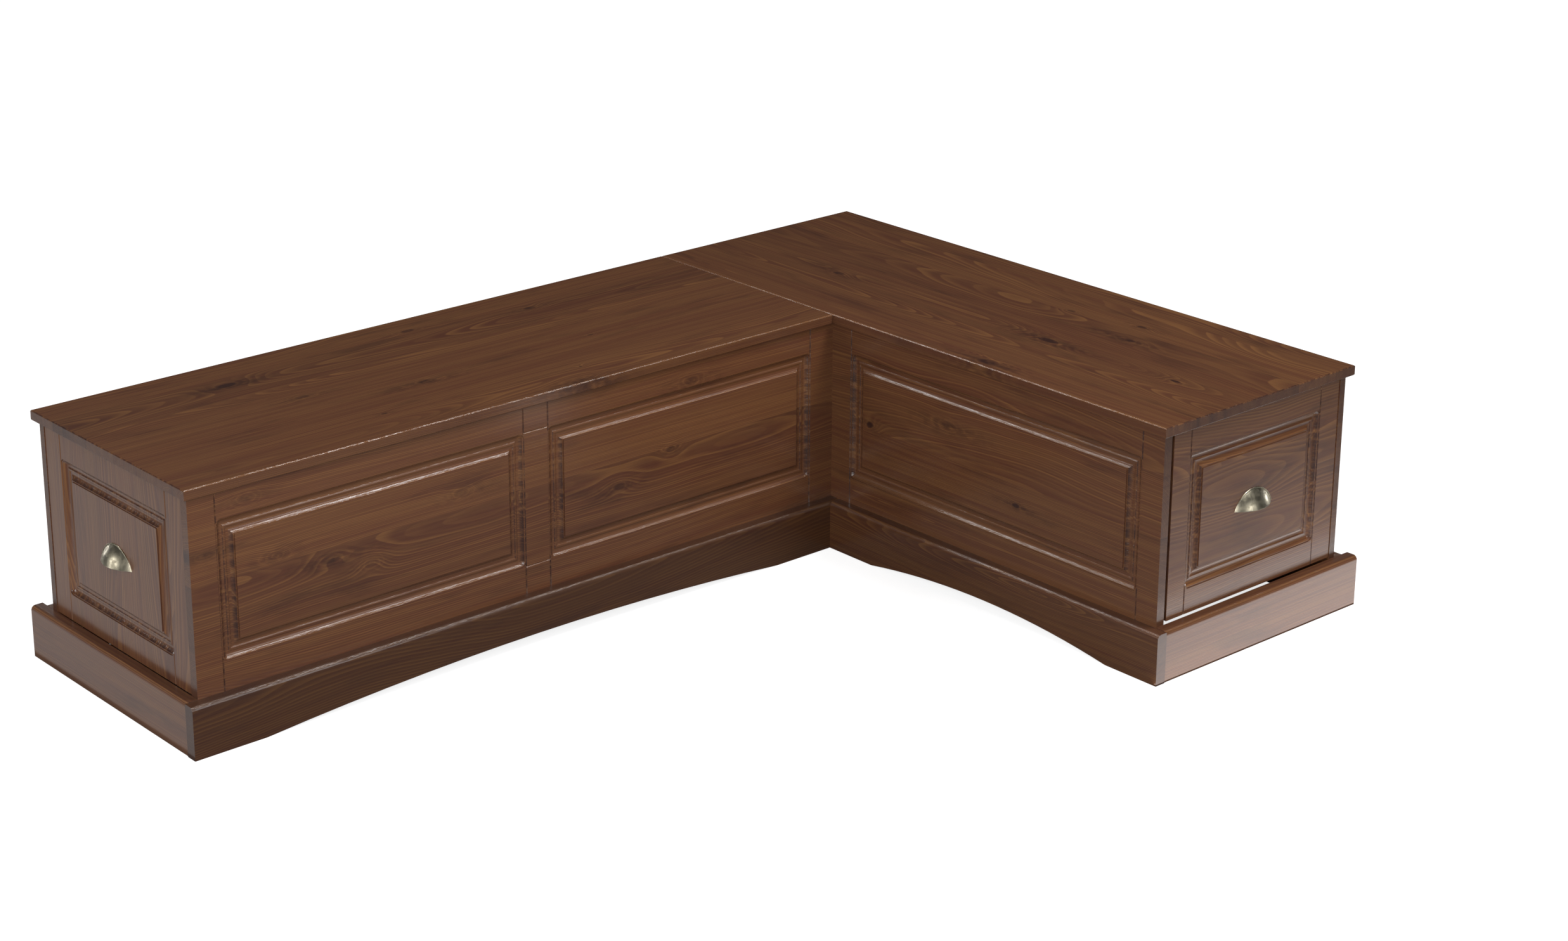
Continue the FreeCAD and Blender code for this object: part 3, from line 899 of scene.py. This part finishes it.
@dataclass
class Board:
    """A construction node and the pine that it is made of.

    Attributes:
        node: The node's name.
        pine: Its wood and finish.
    """

    node: str
    pine: Pine

    def finish(self) -> None:
        """Gives the node its own board's material."""
        low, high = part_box(self.node)
        made = self.pine.material(f"pine_{self.node}", (low + high) / 2)
        dress(self.node, made)


def dress(node: str, material: bpy.types.Material) -> None:
    """Puts a material on every slot of a construction node.

    Args:
        node: The node's name.
        material: What it gets.
    """
    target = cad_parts[node]
    if not target.material_slots:
        target.data.materials.append(material)
    for slot in target.material_slots:
        slot.material = material
    log.info("finished %s with %s", node, material.name)


class Chest:
    """One chest's boards and metal."""

    def __init__(self, side: Side) -> None:
        """Sets the chest's directions and its seed."""
        self.side = side
        self.length = Axis.X if side is Side.LONG else Axis.Y
        self.depth = Axis.Y if side is Side.LONG else Axis.X
        self.seed = 1.0 if side is Side.LONG else 2.0

    def name(self, piece: str) -> str:
        """The node of one of this chest's pieces."""
        return f"{self.side.value}_{piece}"

    def boards(self) -> list[Board]:
        """Every pine node of this chest.

        Returns:
            The boards, the outer ones first.
        """
        s = self.seed
        length, depth = self.length, self.depth
        drawer = Axis.Z if self.side is Side.LONG else Axis.X
        # The front plinths take a darker copy of the stain: painted shade for the light falling off low
        # down, deepest on the long chest in the inner corner.
        foot = STAINED.toned(0.52 if self.side is Side.LONG else 0.80)
        outer = {
            "seat_board": Pine(length, Axis.Z, seed=s + 0.11, strip=0.098, knots=SEAT_KNOTS[self.side]),
            "front_panel": Pine(length, depth, seed=s + 0.23, strip=0.113, knots=FRONT_KNOTS[self.side]),
            "back_panel": Pine(length, depth, seed=s + 0.31),
            "end_panel": Pine(Axis.Z, length, seed=s + 0.37),
            "front_plinth": Pine(length, depth, foot, seed=s + 0.41, strip=PLINTH_STRIP),
            "end_plinth": Pine(depth, length, seed=s + 0.47, strip=PLINTH_STRIP),
            "rear_plinth": Pine(length, depth, seed=s + 0.53, strip=PLINTH_STRIP),
            "drawer_front": Pine(drawer, length, seed=s + 0.59, strip=0.09),
        }
        if self.side is Side.SHORT:
            outer["far_plinth"] = Pine(depth, length, seed=s + 0.61, strip=PLINTH_STRIP)
        inner = {
            "front_batten": Pine(length, Axis.Z, RAW, RAIL_STRIP, s + 0.63),
            "back_batten": Pine(length, Axis.Z, RAW, RAIL_STRIP, s + 0.65),
            "seat_rails": Pine(depth, Axis.Z, RAW, RAIL_STRIP, s + 0.67),
            "tie_rails": Pine(depth, Axis.Z, RAW, RAIL_STRIP, s + 0.69),
            "corner_blocks": Pine(Axis.Z, length, RAW, RAIL_STRIP, s + 0.71),
            "front_runner": Pine(length, Axis.Z, RAW, RAIL_STRIP, s + 0.73),
            "back_runner": Pine(length, Axis.Z, RAW, RAIL_STRIP, s + 0.75),
            "drawer_stops": Pine(length, Axis.Z, RAW, RAIL_STRIP, s + 0.77),
            "drawer_halt": Pine(depth, Axis.Z, RAW, RAIL_STRIP, s + 0.79),
            "drawer_box_front": Pine(depth, length, RAW, BOX_STRIP, s + 0.81),
            "drawer_near_side": Pine(length, depth, RAW, BOX_STRIP, s + 0.83),
            "drawer_far_side": Pine(length, depth, RAW, BOX_STRIP, s + 0.85),
            "drawer_back": Pine(depth, length, RAW, BOX_STRIP, s + 0.87),
        }
        return [Board(self.name(piece), pine) for piece, pine in {**outer, **inner}.items()]

    def finish(self, brass: bpy.types.Material, zinc: bpy.types.Material) -> None:
        """Finishes the chest's nodes and builds its pull.

        Args:
            brass: The pull's metal.
            zinc: The screws' metal.
        """
        for board in self.boards():
            board.finish()
        ply = Plywood(f"plywood_{self.side.value}", self.length).material()
        dress(self.name("drawer_bottom"), ply)
        for piece in ("seat_screws", "pull_screws", "drawer_front_screws"):
            dress(self.name(piece), zinc)
        CupPull(self.side).build(brass)


def area_light(name: str, width: float, height: float, power: float) -> bpy.types.Object:
    """Adds a rectangular light that the camera doesn't see.

    Args:
        name: The light's name.
        width: Its width.
        height: Its height.
        power: Watts.

    Returns:
        The light, in the scene's origin.
    """
    data = bpy.data.lights.new(name, "AREA")
    data.shape = "RECTANGLE"
    data.size = width
    data.size_y = height
    data.energy = power
    made = bpy.data.objects.new(name, data)
    made.visible_camera = False
    bpy.context.scene.collection.objects.link(made)
    return made


@dataclass(frozen=True)
class Lamp:
    """A square soft light.

    Attributes:
        name: The light's name.
        place: Where it stands.
        aim: The point that it faces.
        width: Its width.
        height: Its height.
        power: Watts.
    """

    name: str
    place: tuple[float, float, float]
    aim: tuple[float, float, float]
    width: float
    height: float
    power: float

    def light(self) -> None:
        """Adds the light."""
        made = area_light(self.name, self.width, self.height, self.power)
        made.location = self.place
        gaze = Vector(self.aim) - Vector(self.place)
        made.rotation_euler = gaze.to_track_quat("-Z", "Y").to_euler()


@dataclass(frozen=True)
class Card:
    """A bright patch of the floor, which the lacquer mirrors low down.

    Attributes:
        name: The light's name.
        west: Its lowest x.
        east: Its highest x.
        south: Its lowest y.
        north: Its highest y.
        glow: Its brightness, where 1 is white.
        lift: Its height over the floor.
    """

    name: str
    west: float
    east: float
    south: float
    north: float
    glow: float
    lift: ClassVar[float] = 0.003

    def light(self) -> None:
        """Adds the patch as a light that faces up."""
        width, depth = self.east - self.west, self.north - self.south
        made = area_light(self.name, width, depth, self.glow * math.pi * width * depth)
        made.location = ((self.west + self.east) / 2, (self.south + self.north) / 2, self.lift)
        made.rotation_euler = (math.pi, 0.0, 0.0)


class Studio:
    """A pale floor, a white surround, soft lights and the camera.

    Attributes:
        lamps: The lights.
        sky: Colour of the surround's light.
        sky_power: Its strength.
        floor_dark: The floor's tone for the light that bounces off it.
        floor_seen: Its tone for the camera.
        near_glow: How bright the floor looks near the bench.
        glow_reach: Distances over which it gets white.
        shadow: Middle of the shadow painted on the floor under the long chest.
        shadow_half: Half sizes of that painted shadow, where its edge starts.
        shadow_edge: Half sizes, where its edge ends.
        lens: Focal length in millimetres.
        shift: How far the view is shifted.
        stand: Where the camera stands.
        turn: Its azimuth, elevation and roll in degrees.
    """

    lamps = (
        Lamp("key_light", (1.1, -1.2, 2.9), (0.0, 0.2, 0.3), 1.0, 1.1, 68.0),
        Lamp("back_light", (-0.8, 2.3, 3.0), (0.2, 0.0, 0.3), 1.2, 1.2, 40.0),
        Lamp("side_fill", (-2.3, -2.0, 1.5), (0.1, 0.0, 0.3), 2.4, 1.8, 88.0),
        Lamp("left_soft", (-3.6, 1.75, 1.0), (0.0, 0.0, 0.3), 1.4, 0.9, 26.0),
        Lamp("front_soft", (1.0, -3.5, 1.05), (0.4, 0.0, 0.3), 1.4, 0.9, 16.0),
        Lamp("rear_soft", (0.2, 3.4, 0.26), (0.2, 0.0, 0.26), 3.0, 0.36, 34.0),
        Lamp("east_soft", (3.6, 0.0, 0.26), (0.0, 0.0, 0.26), 2.4, 0.36, 26.0),
        Card("right_card_near", 0.40, 1.20, -0.83, -0.66, 2.2),
        Card("right_card_middle", 0.50, 1.60, -1.15, -0.83, 0.5),
        Card("right_card_far", 0.70, 1.90, -1.50, -1.15, 0.15),
        Card("left_card", -1.55, -0.95, 0.12, 2.00, 0.41),
    )
    sky = (0.92, 0.95, 1.0, 1.0)
    sky_power = 0.022
    floor_dark = (0.16, 0.16, 0.16, 1.0)
    floor_seen = (0.50, 0.50, 0.50, 1.0)
    near_glow = 0.80
    glow_reach = (1.2, 3.2)
    shadow = (-0.82, 0.43)
    shadow_half = (0.05, 0.19)
    shadow_edge = (0.08, 0.21)
    lens = 68.02
    shift = (0.05, -0.10)
    stand = (-3.07038, -3.62031, 2.10816)
    turn = (-40.29, 17.857, -0.137)

    def surround(self) -> None:
        """White to the camera, softer to everything else."""
        world = bpy.data.worlds.new("studio")
        bpy.context.scene.world = world
        world.use_nodes = True
        graph = Graph(world.node_tree)
        world.node_tree.nodes.clear()
        out = graph.node("OutputWorld")
        soft = graph.node("Background")
        soft.inputs[0].default_value = self.sky
        soft.inputs[1].default_value = self.sky_power
        white = graph.node("Background")
        white.inputs[0].default_value = (1.0, 1.0, 1.0, 1.0)
        white.inputs[1].default_value = 1.0
        path = graph.node("LightPath")
        mix = graph.node("MixShader")
        graph.feed(mix.inputs[0], path.outputs["Is Camera Ray"])
        graph.feed(mix.inputs[1], soft.outputs[0])
        graph.feed(mix.inputs[2], white.outputs[0])
        graph.feed(out.inputs[0], mix.outputs[0])

    def floor(self) -> None:
        """A wide round floor: nearly white to the camera, grey to the light that bounces off it, with a
        shadow painted under the long chest.
        """
        work = bmesh.new()
        bmesh.ops.create_circle(work, cap_ends=True, segments=96, radius=14.0)
        finish = bpy.data.materials.new("studio_floor")
        finish.use_nodes = True
        graph = Graph(finish.node_tree)
        shader = finish.node_tree.nodes["Principled BSDF"]
        seen = graph.node("LightPath").outputs["Is Camera Ray"]
        shade = graph.blend(seen, self.floor_dark, self.floor_seen)
        graph.feed(shader.inputs["Base Color"], shade)
        shader.inputs["Emission Color"].default_value = (1.0, 1.0, 1.0, 1.0)
        place = graph.node("TexCoord").outputs["Object"]
        far = graph.node("VectorMath", operation="LENGTH")
        graph.feed(far.inputs[0], place)
        glow = Wire(graph, far.outputs["Value"]).ramp(*self.glow_reach, self.near_glow, 1.0)
        # Painted shadow: the floor's glow for the camera is cut in a soft patch under the long chest.
        x, y = ((part - middle).absolute().ramp(half, edge, 1.0, 0.0) for part, middle, half, edge in zip(
            graph.parts(place), self.shadow, self.shadow_half, self.shadow_edge))
        graph.feed(shader.inputs["Emission Strength"], Wire(graph, seen) * glow * (1.0 - x * y))
        shader.inputs["Roughness"].default_value = 0.9
        shader.inputs["Specular IOR Level"].default_value = 0.0
        mesh_object("studio_floor", work, finish)

    def camera(self) -> None:
        """The photograph's viewpoint, fitted from the edges of the boards."""
        data = bpy.data.cameras.new("camera")
        data.sensor_width = 36.0
        data.lens = self.lens
        data.shift_x, data.shift_y = self.shift
        data.clip_end = 60.0
        azimuth, elevation, roll = (math.radians(angle) for angle in self.turn)
        back = Vector((math.sin(azimuth) * math.cos(elevation),
                       -math.cos(azimuth) * math.cos(elevation), math.sin(elevation)))
        right = Vector((math.cos(azimuth), math.sin(azimuth), 0.0))
        up = back.cross(right)
        level = right * math.cos(roll) + up * math.sin(roll)
        upright = up * math.cos(roll) - right * math.sin(roll)
        made = bpy.data.objects.new("camera", data)
        turned = Matrix((level, upright, back)).transposed().to_4x4()
        made.matrix_world = Matrix.Translation(self.stand) @ turned
        bpy.context.scene.collection.objects.link(made)
        bpy.context.scene.camera = made

    def build(self) -> None:
        """Sets the studio up."""
        scene = bpy.context.scene
        scene.view_settings.view_transform = "Standard"
        self.surround()
        self.floor()
        self.camera()
        for lamp in self.lamps:
            lamp.light()
            log.info("lit %s", lamp.name)


def main() -> None:
    """Dresses both chests and sets up the studio."""
    logging.basicConfig(level=logging.INFO, format="%(name)s: %(message)s")
    Studio().build()
    brass = BRASS.material()
    zinc = ZINC.material()
    for side in Side:
        Chest(side).finish(brass, zinc)
    for node in ("chest_bolts", "chest_nuts"):
        dress(node, zinc)


if __name__ == "__main__":
    main()
